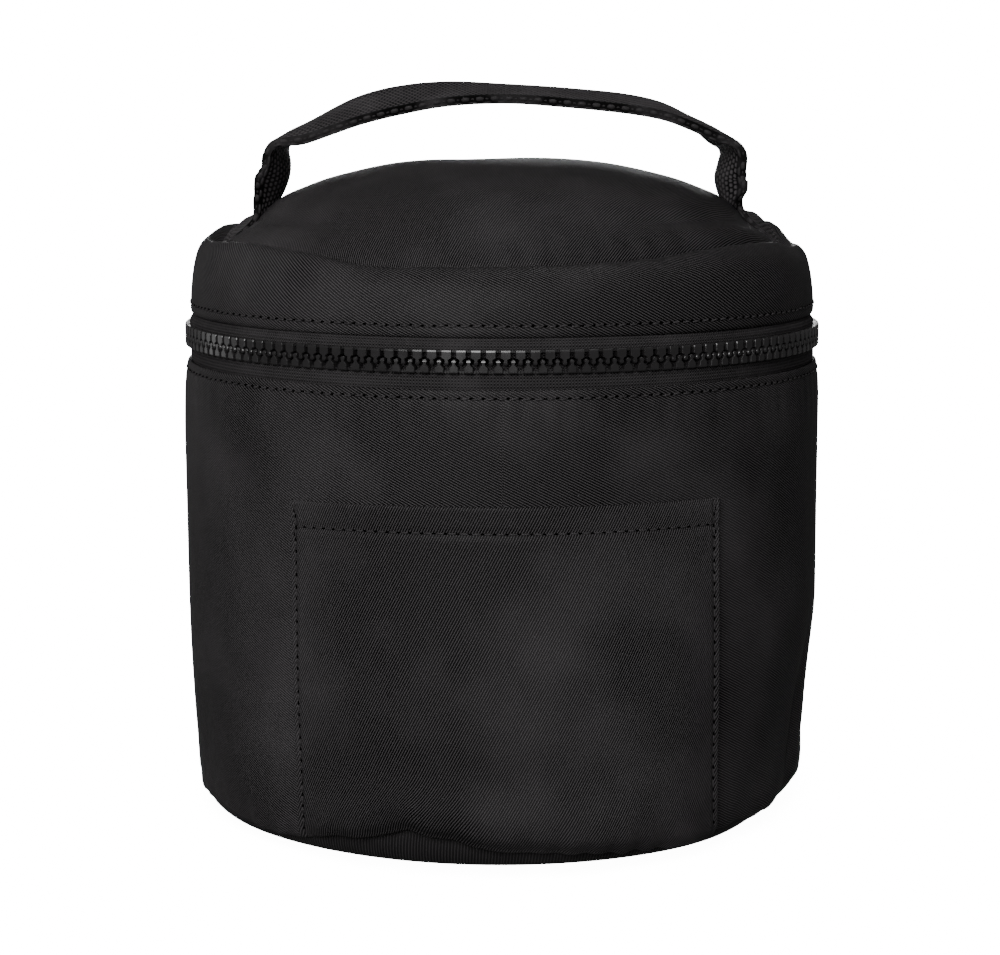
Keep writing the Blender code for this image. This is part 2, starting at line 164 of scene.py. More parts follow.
def curve(table, x):
    """A smooth curve through a table of (x, value), read at x."""
    made = smooth_line(table, 0.5)
    return np.interp(x, made[:, 0], made[:, 1])


def run_length(path):
    """The distance along a path at each of its points."""
    return np.concatenate([[0], np.cumsum(np.linalg.norm(np.diff(path, axis=0), axis=1))])


def unit(vectors):
    return vectors / np.maximum(np.linalg.norm(vectors, axis=1, keepdims=True), 1e-9)


def turned_left(run):
    """Unit vectors a quarter turn to the left of a flat line's run."""
    return unit(np.stack([-run[:, 1], run[:, 0]], 1))


def square_to(x, vectors):
    """Unit vectors as near to the given ones as is square to x."""
    return unit(vectors - x * np.sum(vectors * x, axis=1, keepdims=True))


def read_at(at, along, points):
    """The points of a path at some distances along it."""
    return np.stack([np.interp(at, along, points[:, k]) for k in range(3)], -1)


def on_ring(azimuth, radius, height):
    return np.stack([radius * np.sin(azimuth), -radius * np.cos(azimuth), height + 0 * azimuth], -1)


def turned(name, line, step=1.2, columns=480, arc=None, shape=None, inward=None, flat_uv=False):
    """Cloth turned round +Z from a (radius, height) line. shape(azimuth, radius, height, along) gives how far
    each point is pushed out along its normal, and lifted; inward(azimuth, radius, height) how far it is drawn in.
    arc is a pair of azimuths, or None for a full turn."""
    path = smooth_line(line, step)
    normal = turned_left(np.gradient(path, axis=0))
    along = run_length(path)
    wrap = arc is None
    azimuth = np.linspace(*(arc or (0, FULL)), columns + 1)
    a = np.broadcast_to(azimuth, (len(path), columns + 1))
    r = np.broadcast_to(path[:, :1], a.shape)
    z = np.broadcast_to(path[:, 1:], a.shape)
    s = np.broadcast_to(along[:, None], a.shape)
    push, lift = shape(a, r, z, s) if shape else (0, 0)
    points = on_ring(a, r + normal[:, :1] * push - (inward(a, r, z) if inward else 0), 0)
    points[..., 2] += z + normal[:, 1:] * push + lift
    if flat_uv:
        uv = np.stack([s * np.sin(a), -s * np.cos(a)], -1)
    else:
        uv = np.stack([a * path[:, 0].max(), -s], -1)
    return grid(name, points[:, :columns] if wrap else points, uv, wrap)


def thicken(piece, thickness):
    """Gives a sheet its thickness, inwards from the face that is drawn."""
    solid = piece.modifiers.new("Thickness", "SOLIDIFY")
    solid.thickness = thickness * MM
    solid.offset = -1
    return piece


def scatter(name, template, places, smooth=True):
    """One mesh of many copies of a template (points, quads), each at (origin, x axis, y axis, z axis)."""
    points, quads = template
    origin, x, y, z = (np.asarray(part, float) for part in places)
    made = origin[:, None] + (points[None, :, :1] * x[:, None] + points[None, :, 1:2] * y[:, None]
                              + points[None, :, 2:] * z[:, None])
    faces = quads[None] + (np.arange(len(origin)) * len(points))[:, None, None]
    return new_mesh(name, made.reshape(-1, 3), faces.reshape(-1, quads.shape[1]), smooth=smooth)


def ring_places(azimuth, radius, height, lean=0):
    """Places round the ring: x along it, y out of it, z up. lean turns each one about y."""
    origin = on_ring(azimuth, radius, height)
    along = np.stack([np.cos(azimuth), np.sin(azimuth), 0 * azimuth], -1)
    out = on_ring(azimuth, 1, 0)
    up = np.broadcast_to([0, 0, 1], out.shape)
    return origin, along * math.cos(lean) + up * math.sin(lean), out, up * math.cos(lean) - along * math.sin(lean)


def hump(x, centre, width):
    return np.exp(-((x - centre) / width) ** 2)


def rise(x, low, high):
    """0 below low, 1 above high, smooth between. low may be above high for a fall."""
    t = np.clip((x - low) / (high - low), 0, 1)
    return t * t * (3 - 2 * t)


def near_front(a):
    """Azimuth from -pi to pi, for shapes placed left or right of the front."""
    return (a + math.pi) % FULL - math.pi


def ripple(a, seed, low, high, count=7):
    """Irregular waves round the ring, about -1 to 1, with whole numbers of waves from low to high."""
    random = np.random.default_rng(seed)
    total = 0
    for _ in range(count):
        total += np.cos(random.integers(low, high + 1) * a + random.uniform(0, FULL))
    return total / math.sqrt(count / 2) / 1.6


def dents(a, z, seed, around, up, count=14):
    """Soft irregular unevenness over a turned surface, about -1 to 1."""
    random = np.random.default_rng(seed)
    total = 0
    for _ in range(count):
        total += np.cos(random.integers(1, around + 1) * a + random.uniform(-up, up) * z + random.uniform(0, FULL))
    return total / math.sqrt(count / 2) / 1.6


# ---- materials

class Nodes:
    """A short way to write a material's nodes."""

    def __init__(self, name):
        self.material = bpy.data.materials.new(name)
        self.material.use_nodes = True
        self.tree = self.material.node_tree
        self.shader = self.tree.nodes["Principled BSDF"]

    def feed(self, socket, value):
        if isinstance(value, bpy.types.NodeSocket):
            self.tree.links.new(value, socket)
        elif socket.type == "RGBA" and len(value) == 3:
            socket.default_value = (*value, 1)
        else:
            socket.default_value = value

    def add(self, kind, settings=None, output=0, **inputs):
        """Adds a node; an input is named, or i0, i1 and so on by its number."""
        node = self.tree.nodes.new("ShaderNode" + kind)
        for key, value in (settings or {}).items():
            setattr(node, key, value)
        for key, value in inputs.items():
            numbered = key[0] == "i" and key[1:].isdigit()
            self.feed(node.inputs[int(key[1:])] if numbered else node.inputs[key], value)
        return node.outputs[output]

    def math(self, operation, first, second=0, third=0):
        return self.add("Math", {"operation": operation}, i0=first, i1=second, i2=third)

    def ramp(self, value, low, high, tone=1):
        """0 below low, tone above high."""
        return self.add("MapRange", i0=value, i1=low, i2=high, i3=0, i4=tone)

    def mix(self, share, first, second):
        return self.add("Mix", {"data_type": "RGBA"}, output=2, i0=share, i6=first, i7=second)

    def place(self):
        return self.add("TexCoord", output=3)

    def cloth(self):
        """The place on the cloth in millimetres, as its two coordinates."""
        first = self.add("SeparateXYZ", i0=self.add("UVMap", {"uv_map": "cloth"}))
        return first, first.node.outputs[1]

    def noise(self, scale, detail=2):
        return self.add("TexNoise", Vector=self.place(), Scale=scale, Detail=detail)

    def bump(self, height, depth, strength, **under):
        return self.add("Bump", Height=height, Distance=depth * MM, Strength=strength, **under)

    def set(self, **values):
        for key, value in values.items():
            self.feed(self.shader.inputs[key.replace("_", " ")], value)


def lines_across(nodes, cloth, angle, spacing, wander, noise):
    """Waves from -1 to 1 over the cloth, a little disturbed by a noise; their lines run at the angle."""
    turn = math.radians(angle)
    across = nodes.math("MULTIPLY", cloth[0], -math.sin(turn) * FULL / spacing)
    across = nodes.math("MULTIPLY_ADD", cloth[1], math.cos(turn) * FULL / spacing, across)
    return nodes.math("SINE", nodes.math("MULTIPLY_ADD", noise, wander, across))


def grey(tone, share, tint=(1.03, 0.96, 1)):
    return tuple(tone * share * part for part in tint)


TONE = 0.0245  # the cloth's mean brightness


def cloth_tone_with_painted_thread_light(nodes, height, tone, low, high, lint, soft):
    """The colour of woven cloth: painted shade between its threads and a painted highlight on them, softly uneven in
    tone, with a little lint.
    """
    # low sets the painted shade between the threads, high the painted highlight on them.
    base = nodes.mix(height, grey(tone, low), grey(tone, high))
    worn = nodes.mix(nodes.ramp(soft, 0.45, 0.75, 0.3), base, grey(tone, 1.5 * high))
    specks = nodes.ramp(nodes.noise(1500, 1), lint, lint + 0.035, 0.5)
    nodes.set(Base_Color=nodes.mix(specks, worn, (0.13, 0.13, 0.135)))


def twill(name, angle, spacing=0.62, low=0, high=3.1):
    """Nylon twill: fine ribs at an angle, crossed by finer threads."""
    nodes = Nodes(name)
    cloth = nodes.cloth()
    soft = nodes.noise(26, 3)
    drift = nodes.noise(110)
    ribs = lines_across(nodes, cloth, angle, spacing, 1.3, drift)
    threads = lines_across(nodes, cloth, angle + 62, spacing * 0.9, 0.8, drift)
    height = nodes.ramp(nodes.math("MULTIPLY_ADD", threads, 0.15, ribs), -0.45, 0.9)
    # The ribs' height is painted into the colour: painted shade between them, painted highlight on them.
    cloth_tone_with_painted_thread_light(nodes, height, TONE, low, high, 0.775, soft)
    nodes.set(Roughness=nodes.math("ADD", 0.45, nodes.ramp(soft, 0.3, 0.75, 0.1)))
    nodes.set(Specular_IOR_Level=0.12)
    nodes.set(Normal=nodes.bump(soft, 0.3, 0.5, Normal=nodes.bump(height, 0.2, 0.8)))
    return nodes.material


def plain_weave(name, tone, pitch, roughness=0.7, low=0.35, high=1.7, depth=0.08, ribs=0.4):
    """Plain cloth, thread or tape: threads over and under each other at right angles."""
    nodes = Nodes(name)
    cloth = nodes.cloth()
    soft = nodes.noise(60, 3)
    over = lines_across(nodes, cloth, 90, pitch, 0.8, soft)
    under = lines_across(nodes, cloth, 0, pitch, 0.8, soft)
    weave = nodes.math("MULTIPLY_ADD", under, ribs, nodes.math("MULTIPLY", over, under))
    height = nodes.math("MULTIPLY_ADD", weave, 0.36, 0.5)
    # The weave's height is painted into the colour: painted shade between the threads, painted highlight on them.
    cloth_tone_with_painted_thread_light(nodes, height, tone, low, high, 0.785, soft)
    nodes.set(Roughness=nodes.math("ADD", roughness - 0.06, nodes.ramp(soft, 0.3, 0.75, 0.12)))
    nodes.set(Specular_IOR_Level=0.12)
    nodes.set(Normal=nodes.bump(height, depth, 0.8))
    return nodes.material


def webbing(name, tone):
    """Webbing: rounded floats of thread along the strap, each row of them shifted against the last, with painted shade
    in the gaps between them and in a band along the selvedge."""
    nodes = Nodes(name)
    down, side = nodes.cloth()
    row = nodes.math("MULTIPLY", side, 1 / FLOAT_WIDTH)
    start = nodes.math("MULTIPLY", nodes.math("FLOOR", row), FLOAT_SHIFT * math.pi)
    along = nodes.math("ABSOLUTE", nodes.math("SINE", nodes.math("MULTIPLY_ADD", down, math.pi / FLOAT_LENGTH, start)))
    across = nodes.math("ABSOLUTE", nodes.math("SINE", nodes.math("MULTIPLY", row, math.pi)))
    floats = nodes.ramp(nodes.math("MULTIPLY", across, along), 0.18, 0.68)
    # inner paints a band of shade on the face next to each row of selvedge beads; the gaps between the floats are
    # painted shade too.
    inner = nodes.ramp(nodes.math("ABSOLUTE", side), STRAP_HALF - 0.7, STRAP_HALF - 1.2)
    height = nodes.math("MULTIPLY", floats, inner)
    cloth_tone_with_painted_thread_light(nodes, height, tone, 0.02, 1.9, 0.79, nodes.noise(90))
    nodes.set(Roughness=0.6, Specular_IOR_Level=0.08)
    nodes.set(Normal=nodes.bump(height, 0.25, 0.9))
    return nodes.material


def moulded(name, tone, roughness, specular=0.5):
    """Moulded plastic with a faint sandy grain."""
    nodes = Nodes(name)
    blotch = nodes.noise(180)
    nodes.set(Base_Color=nodes.mix(blotch, grey(tone, 0.8), grey(tone, 1.25)))
    nodes.set(Roughness=nodes.math("ADD", roughness - 0.05, nodes.ramp(blotch, 0.3, 0.75, 0.12)))
    nodes.set(Specular_IOR_Level=specular)
    nodes.set(Normal=nodes.bump(nodes.noise(2600), 0.01, 0.4))
    return nodes.material


def spongy(name, tone):
    """Closed-cell foam: small pores in a matt grey."""
    nodes = Nodes(name)
    cells = nodes.add("TexVoronoi", Vector=nodes.place(), Scale=1400)
    nodes.set(Base_Color=nodes.mix(nodes.ramp(cells, 0.1, 0.6), grey(tone, 0.6), grey(tone, 1.2)))
    nodes.set(Roughness=0.92, Specular_IOR_Level=0.2)
    nodes.set(Normal=nodes.bump(cells, 0.15, 0.6))
    return nodes.material


BODY_TWILL = twill("body_twill", -27)
POCKET_TWILL = twill("pocket_twill", 63)
BAND_TWILL = twill("band_twill", -27)
DOME_TWILL = twill("dome_twill", 64)
BASE_TWILL = twill("base_twill", 86, spacing=0.8, low=0.4, high=1.5)
TAPE_WEAVE = plain_weave("tape_weave", TONE * 0.85, 0.8, low=0, high=3, depth=0.3, ribs=0.5)
WEBBING = webbing("webbing_weave", TONE * 2.1)
LINING = plain_weave("lining_weave", TONE * 0.8, 0.45, depth=0.03)
SELVEDGE = plain_weave("selvedge", TONE * 1.25, 0.4, roughness=0.6, low=0.7, high=1.3)
THREAD = plain_weave("thread", TONE * 1.4, 0.3, roughness=0.5, depth=0.02)
# Near-black painted shade that stands for the needle holes.
HOLE_SHADE = moulded("painted_needle_hole_shade", 0.001, 0.9, 0)
TEETH = moulded("zip_plastic", 0.019, 0.28, 0.75)
FOAM = spongy("foam", 0.06)
BOARD = moulded("board", 0.03, 0.6)


def finish_piece(piece, material, slot, body, *nodes):
    """Gives a piece its material, hides the CAD nodes it stands for, and rides it on a body. The slot argument is not
    used.
    """
    piece.data.materials.append(material)
    if nodes:
        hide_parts(*nodes)
    if body:
        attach(piece, body)
    return piece


# ---- body

SEAM_Z = 4.4  # height of the fold over the base seam where the cloth hangs plainly
# Height of that fold round the front, by azimuth in degrees: a slack fold left of the middle, low on the right.
FOLD_LINE = [(-180, 4.4), (-80, 4), (-60, 3.4), (-38, 3.8), (-30, 6.2), (-23, 7.3), (-19, 8.8), (-15.8, 10.2),
             (-12.5, 8.8), (-8, 8.3), (-4, 6.5), (2, 5.5), (15, 4.5), (28, 3.4), (35, 3.1), (41, 4.2), (60, 4.4),
             (180, 4.4)]
# How far the base's edge is off the floor, by azimuth in degrees.
BASE_LINE = [(-180, 0), (30, 0), (42, 0.3), (57, 1.5), (72, 2.4), (95, 0.9), (120, 0), (180, 0)]
LOWER_RIGHT_IN, RIM_IN = 2.2, 2.4  # how far the lower right is drawn in, and how much more its rim is
# The wall's height, and its radius against the widest part of the CAD panel.
WALL_LINE = [(8, -2.5), (14, -2.1), (23, -1.6), (38, -1), (52, -0.75), (80, -0.8), (109, -0.9), (115.2, -1.2),
             (119.2, -1.5)]


def sag(a, z):
    """How far the cloth just above the base seam is lifted or lowered."""
    fold = curve(FOLD_LINE, np.degrees(a)) - SEAM_Z
    small = 0.3 * ripple(a, 5, 70, 84) * hump(a, 0.3, 0.32) + 0.12 * ripple(a, 6, 20, 60)
    return (fold + small) * rise(z, 26, 5.5)


def drawn_in(a, r, z):
    """How far the wall and the base's rim are drawn in at the lower right."""
    depth = LOWER_RIGHT_IN * rise(z, 58, 28) + RIM_IN * rise(z, 9, 3) - 0.6 * hump(z, 12, 5)
    return hump(near_front(a), 1.45, 0.45) * depth * rise(r, 66, 80)


def body_shape(a, r, z, s):
    a = near_front(a)
    push = 0.35 * dents(a, z, 11, 5, 0.035) * rise(z, 118, 100)
    push += 0.35 * ripple(a, 12, 14, 30) * hump(z, 9, 8) + 0.2 * ripple(a, 13, 36, 70) * hump(z, 6, 4)
    lean = a - 0.003 * (z - 24)
    creases = hump(lean, 1.2, 0.035) + 0.7 * hump(lean, 1.37, 0.045) - 0.9 * hump(lean, 1.29, 0.04)
    push -= 1.2 * creases * hump(z, 26, 16) * rise(z, 7, 14)
    left = hump(a, -1.18, 0.05) - 0.8 * hump(a, -1.3, 0.06)
    push -= 0.4 * left * hump(z, 20, 14)
    push -= 0.32 * hump(z, BODY_TOP - 2, 0.8) * (0.8 + 0.2 * np.cos(a * 179))
    push += 0.1 * ripple(a, 14, 60, 110) * hump(z, BODY_TOP - 6, 5)
    return push, sag(a, z)


def body_line():
    hem = [(-1.5, -4), (-1.45, -1.2), (-1, -0.15), (-0.3, 0.15), (0.12, -0.5), (0.35, -2)]
    wall = [(out, z) for z, out in reversed(WALL_LINE[:-1])]
    fold = [(-2.8, SEAM_Z + 1.2), (-3.6, SEAM_Z), (-4.9, SEAM_Z + 0.4), (-5.5, SEAM_Z + 2.4)]
    return offset(BODY_TOP_R, BODY_TOP, hem) + offset(BODY_R, 0, wall + fold)


def wall_at(a, z):
    """The body panel's radius at an azimuth and a height."""
    radius = BODY_R + curve(WALL_LINE, z)
    return radius + body_shape(a, radius, z, 0)[0] - drawn_in(a, radius, z)


def make_body_panel():
    panel = turned("side_panel_cloth", body_line(), 1.3, 600, shape=body_shape, inward=drawn_in)
    finish_piece(panel, BODY_TWILL, "nylon_twill", "body", "side_panel")


def make_base():
    rim = [(-4.5, 14), (-2, 12.6), (-0.4, 10), (0.1, 7), (-0.1, 4.4), (-1, 2.2), (-2.4, 0.8), (-4.4, 0.1), (-7, 0),
           (-16, 0)]
    line = [*offset(BODY_R - 4.2, 0, rim), (40, 0), (0.4, 0)]

    def shape(a, r, z, s):
        a = near_front(a)
        return 0.22 * ripple(a, 21, 26, 90) * rise(z, 1, 4.5), curve(BASE_LINE, np.degrees(a)) * rise(r, 66, 81)

    def inward(a, r, z):
        wide = 0.7 * hump(near_front(a), -0.95, 0.35) + 0.2 * hump(near_front(a), 0.65, 0.2)
        return drawn_in(a, r, z) - wide * rise(r, 66, 81)

    base = turned("base_cloth", line, 1.4, 480, shape=shape, inward=inward)
    finish_piece(base, BASE_TWILL, "nylon_twill", "body", "base_panel")


# ---- pocket

POCKET_LEFT = [(4, -37.1), (14, -36.7), (50, -36.9), (94, -37.1)]  # azimuth of each side edge by height
POCKET_RIGHT = [(4, 40.2), (14, 39.5), (40, 38.7), (66, 38.2), (94, 37.8)]
POCKET_FULL = 3.6
HEM_STITCH = 6.6
POCKET_CLOTH = 1.7


def pocket_azimuth(u, z):
    """Azimuth of a place on the pocket, from u = -1 at its left edge to 1 at its right one."""
    left, right = (np.radians(curve(edge, z)) for edge in (POCKET_LEFT, POCKET_RIGHT))
    return (left + right) / 2 + (right - left) / 2 * u


def pocket_top_drop(u):
    return np.where(u < 0, 1.3, 0.7) * u ** 2


def pocket_outside(u, z):
    """The radius of the pocket's outer face, and how far that place is moved up from z."""
    a = pocket_azimuth(u, z)
    edge = (1 - np.abs(u)) * (pocket_azimuth(1, z) - pocket_azimuth(-1, z)) / 2 * BODY_R
    tuck = 1 - np.sqrt(np.clip(1 - (1 - np.clip(edge / 0.45, 0, 1)) ** 2, 0, 1))
    dip = 0.36 * hump(z, POCKET_TOP - HEM_STITCH + 0.3, 0.7) + 0.45 * hump(edge, 1.9, 0.6)
    full = np.cos(u * math.pi / 2) ** 1.2 * (0.35 + 0.65 * hump(z, 26, 42)) * rise(z, 2, 9)
    full = full - 0.12 * hump(z, 27, 5) * hump(u, 0, 0.7) + 0.26 * hump(z, 12.5, 6) * hump(u, -0.05, 0.8)
    bulge = POCKET_FULL * full + 0.25 * dents(a, z, 31, 9, 0.05) * (1 - u ** 2)
    under = 1.3 * rise(z, 9, 4.5) ** 2
    radius = wall_at(a, z) + POCKET_CLOTH * (1 - 0.93 * tuck) - dip + bulge - under
    return a, radius, sag(a, z) * 1.04 - pocket_top_drop(u) * rise(z, 55, POCKET_TOP)


def make_pocket():
    """The patch pocket: its hem turns over at the mouth, and its foot is caught in the base seam."""
    top = POCKET_TOP + 0.5
    outer = np.array([(0, top - 0.5), (0, top - 2), (0, top - HEM_STITCH), (0, 60), (0, 30), (0, 14), (0, 8), (0, 5.4),
                      (-0.7, SEAM_Z), (-2.4, SEAM_Z - 0.3), (-4.4, SEAM_Z + 0.3), (-5, SEAM_Z + 2.2)])
    inner = np.array([(-1.3, top - 8), (-1.3, top - 2), (-1.2, top - 0.6), (-0.65, top), (-0.15, top - 0.15)])
    profile = smooth_line(np.vstack([inner, outer]), 1.1)
    near_edge = np.geomspace(0.002, 0.08, 10)
    u = np.unique(np.concatenate([np.linspace(-1, 1, 141), 1 - near_edge, near_edge - 1]))
    u, z = np.meshgrid(u, profile[:, 1])
    a, radius, moved = pocket_outside(u, np.maximum(z, SEAM_Z + 1))
    radius = np.maximum(radius + profile[:, :1], np.where(z < 7, 0, wall_at(a, z) + 0.1))
    points = on_ring(a, radius, 0)
    points[..., 2] = z + moved
    cut = run_length(profile)
    uv = np.stack([a * BODY_R, np.broadcast_to(-cut[:, None], a.shape)], -1)
    pocket = grid("pocket_cloth", points, uv)
    finish_piece(pocket, POCKET_TWILL, "nylon_twill", "body", "front_pocket")

    across = np.linspace(-0.965, 0.965, 90)
    hem = pocket_outside(across, np.full(90, top - HEM_STITCH))
    stitch_path("pocket_hem_stitch", hem[0], top - HEM_STITCH + hem[2], hem[1] + 0.06, "body")
    down = np.linspace(top - 1, 7.5, 90)
    for name, side in (("left", -1), ("right", 1)):
        inset = side * (1 - 1.8 / ((pocket_azimuth(1, down) - pocket_azimuth(-1, down)) / 2 * BODY_R))
        seam = pocket_outside(inset, down)
        stitch_path(f"pocket_{name}_stitch", seam[0], down + seam[2], seam[1] + 0.06, "body")
        azimuth, height, radius = (part[:10] for part in (seam[0], down + seam[2], seam[1]))
        stitch_path(f"pocket_{name}_tack", azimuth + side * 0.004, height + 1.3, radius + 0.12, "body")


# ---- stitches

def bead(length, width, height, around=8, along=6):
    """A small rounded thread segment lying along x, as (points, quads)."""
    t = np.linspace(0.04, math.pi - 0.04, along)
    u = np.linspace(0, FULL, around, endpoint=False)
    x = -np.cos(t)[:, None] * length / 2 + 0 * u
    y = np.sin(t)[:, None] ** 0.6 * np.cos(u) * height / 2
    z = np.sin(t)[:, None] ** 0.6 * np.sin(u) * width / 2
    points = np.stack([x, y, z], -1).reshape(-1, 3)
    i, j = np.meshgrid(np.arange(along - 1), np.arange(around), indexing="ij")
    quads = np.stack([i * around + j, i * around + (j + 1) % around, (i + 1) * around + (j + 1) % around,
                      (i + 1) * around + j], -1)
    caps = np.array([[0, 7, 6, 5], [0, 5, 4, 3], [0, 3, 2, 1]])
    ends = (along - 1) * around + caps[::-1, [0, 3, 2, 1]]
    return points, np.vstack([quads.reshape(-1, 4), caps, ends])


def stitched(name, places, body):
    """A run of lockstitch: a thread segment at each place, and between it and the next a near-black bead of painted
    shade for the needle hole.
    """
    origin, x, y, z = places
    thread = scatter(name, bead(2.1, 0.5, 0.55), places)
    finish_piece(thread, THREAD, "nylon_twill", body)
    hole_shade = scatter(name + "_holes", bead(0.95, 0.5, 0.34), (origin + x * STITCH_PITCH / 2, x, y, z))
    finish_piece(hole_shade, HOLE_SHADE, "nylon_twill", body)


def stitch_ring(name, radius, height, body):
    count = round(FULL * radius / STITCH_PITCH)
    azimuth = np.arange(count) * FULL / count
    random = np.random.default_rng(len(name))
    wobble = height + random.uniform(-0.12, 0.12, count)
    stitched(name, ring_places(azimuth, radius, wobble, lean=0.1), body)


def stitch_path(name, azimuth, height, radius, body):
    """Stitches along a path on the drum, a pitch apart, given as arrays of azimuth, height and radius."""
    points = on_ring(azimuth, radius, height)
    along = run_length(points)
    at = np.arange(STITCH_PITCH / 2, along[-1], STITCH_PITCH)
    x = unit(read_at(at + 0.4, along, points) - read_at(at - 0.4, along, points))
    out = square_to(x, on_ring(np.interp(at, along, azimuth), 1, 0))
    stitched(name, (read_at(at, along, points), x, out, np.cross(x, out)), body)


# ---- zip

# Half outlines of the teeth, (half width, distance from the tape side).
UPPER_TOOTH = [(1.18, 0), (1.24, 0.1), (1.24, 0.5), (1.24, 1.95), (0.46, 2.42), (0.46, 2.75), (0.58, 3.05), (0.58, 3.4),
               (0.38, 3.68), (0.12, 3.78)]
LOWER_TOOTH = [(1.06, 0), (1.12, 0.1), (1.12, 0.4), (1.12, 1.5), (0.42, 2.2), (0.42, 2.45), (0.6, 2.8), (0.6, 3.1),
               (0.4, 3.36), (0.14, 3.46)]
TOOTH_DEPTH = 3
TAPE_THICK = 0.5


def skin(rings):
    """A closed part from rings of points, each its own mirror image, as (points, quads)."""
    count, last = len(rings[0]), (len(rings) - 1) * len(rings[0])
    quads = [[r * count + k, r * count + (k + 1) % count, (r + 1) * count + (k + 1) % count, (r + 1) * count + k]
             for r in range(len(rings) - 1) for k in range(count)]
    for k in range(count // 2 - 1):
        mirror = count - 1 - k
        quads.append([last + k, last + k + 1, last + mirror - 1, last + mirror])
        quads.append([mirror, mirror - 1, k + 1, k])
    return np.vstack(rings), np.array(quads)


def inward_of(outline):
    return turned_left(np.roll(outline, -1, 0) - np.roll(outline, 1, 0))


def tooth(half, facet, slope):
    """A moulded tooth seen from the front, y out of it: flat, with crisp bevels, a facet that falls away to its
    tape side, and a small one on its nose."""
    outline = np.array(half + [(-x, z) for x, z in reversed(half)])
    nose = np.clip((outline[:, 1] - outline[:, 1].max()) / 0.5 + 1, 0, 1)
    fall = -slope * np.clip(1 - outline[:, 1] / facet, 0, 1) - 0.16 * nose
    rings = ((outline, -TOOTH_DEPTH), (outline, -0.16), (outline + inward_of(outline) * 0.13, 0))
    return skin([np.stack([ring[:, 0], fall + y, ring[:, 1]], -1) for ring, y in rings])


def box_shape(low, high):
    corner = np.array([(x, y, z) for x in (0, 1) for y in (0, 1) for z in (0, 1)])
    points = np.array(low) + corner * (np.array(high) - np.array(low))
    return points, np.array([[0, 1, 3, 2], [4, 6, 7, 5], [0, 4, 5, 1], [2, 3, 7, 6], [0, 2, 6, 4], [1, 5, 7, 3]])


def both(first, second):
    return np.vstack([first[0], second[0]]), np.vstack([first[1], second[1] + len(first[0])])


def make_zip():
    face_r = TEETH_R + 0.5
    count = round(2 * TEETH_HALF_ARC * face_r / TOOTH_PITCH)
    pitch = 2 * TEETH_HALF_ARC / count
    lower = -TEETH_HALF_ARC + (np.arange(count) + 0.25) * pitch
    low_foot = box_shape((-1.75, -2.6, 0.1), (1.75, -0.9, 0.7))
    high_foot = box_shape((-1.75, -2.6, 0.08), (1.75, -0.75, 0.62))
    for row, shape, azimuth, height, up, body in (
            ("lower", both(tooth(LOWER_TOOTH, 0.4, 0.25), low_foot), lower, CHAIN_LOW + 0.1, 1, "body"),
            ("upper", both(tooth(UPPER_TOOTH, 0.5, 0.15), high_foot), lower + pitch / 2, CHAIN_HIGH, -1, "lid")):
        origin, x, y, z = ring_places(azimuth, face_r, height)
        teeth = scatter(f"{row}_teeth", shape, (origin, x * up, y, z * up), smooth=False)
        finish_piece(teeth, TEETH, "zip_plastic", body, f"{row}_zip_teeth")
    arc = (-TEETH_HALF_ARC - 0.05, TEETH_HALF_ARC + 0.05)

    def tape_shape(a, r, z, s):
        return 0.08 * ripple(a, 41, 90, 130) * hump(z, HINGE_Z, 3.5) + 0.15 * dents(a, z, 42, 9, 0.3), 0

    low = (offset(TAPE_R, CHAIN_LOW, [(-0.6, 2.2), (-0.3, 1.2), (0.3, 0.1), (0.35, -0.6), (0.3, -1.3)])
           + offset(TAPE_R, BODY_TOP, [(0.35, 0.9), (-0.1, -1), (-0.3, -8)]))
    high = (offset(TAPE_R, BAND_LOW, [(-1.2, 8), (-1.1, 1), (-0.3, -0.8)])
            + offset(TAPE_R, CHAIN_HIGH, [(0.3, 1.3), (0.35, 0.6), (0.3, -0.1), (-0.3, -1.2), (-0.6, -2.2)]))
    for row, line, body in (("lower", low, "body"), ("upper", high, "lid")):
        tape = turned(f"{row}_tape", line, 0.5, 420, arc, tape_shape)
        finish_piece(thicken(tape, TAPE_THICK), TAPE_WEAVE, "zip_tape", body, f"{row}_zip_tape")


def slab(outline, back, front, bevel=0.3, sides=3):
    """A flat moulded part with rounded edges from its outline (x, z), as (points, quads)."""
    outline = np.array(outline, float)
    inward = inward_of(outline) * bevel
    turn = np.linspace(0, math.pi / 2, sides + 1)
    rings = [(outline + inward * (1 - math.sin(t)), back + bevel * (1 - math.cos(t))) for t in turn]
    rings += [(outline + inward * (1 - math.cos(t)), front - bevel * (1 - math.sin(t))) for t in turn]
    return skin([np.stack([ring[:, 0], np.full(len(ring), y), ring[:, 1]], -1) for ring, y in rings])


def mirrored(half):
    """A closed outline from its upper half, given from left to right, walked clockwise from the left end."""
    return [*half, *[(x, -z) for x, z in reversed(half)]]


def at_slider(name, shape, body, *nodes):
    """Puts a small moulded shape at the slider's parking place, and rides it on a body."""
    places = ring_places(np.array([SLIDER_AZIMUTH]), 0, float(PULL_AT[2]))
    piece = scatter(name, shape, places, smooth=False)
    piece.data.shade_smooth()
    piece.data.set_sharp_from_angle(angle=math.radians(40))
    return finish_piece(piece, TEETH, "zip_plastic", body, *nodes)


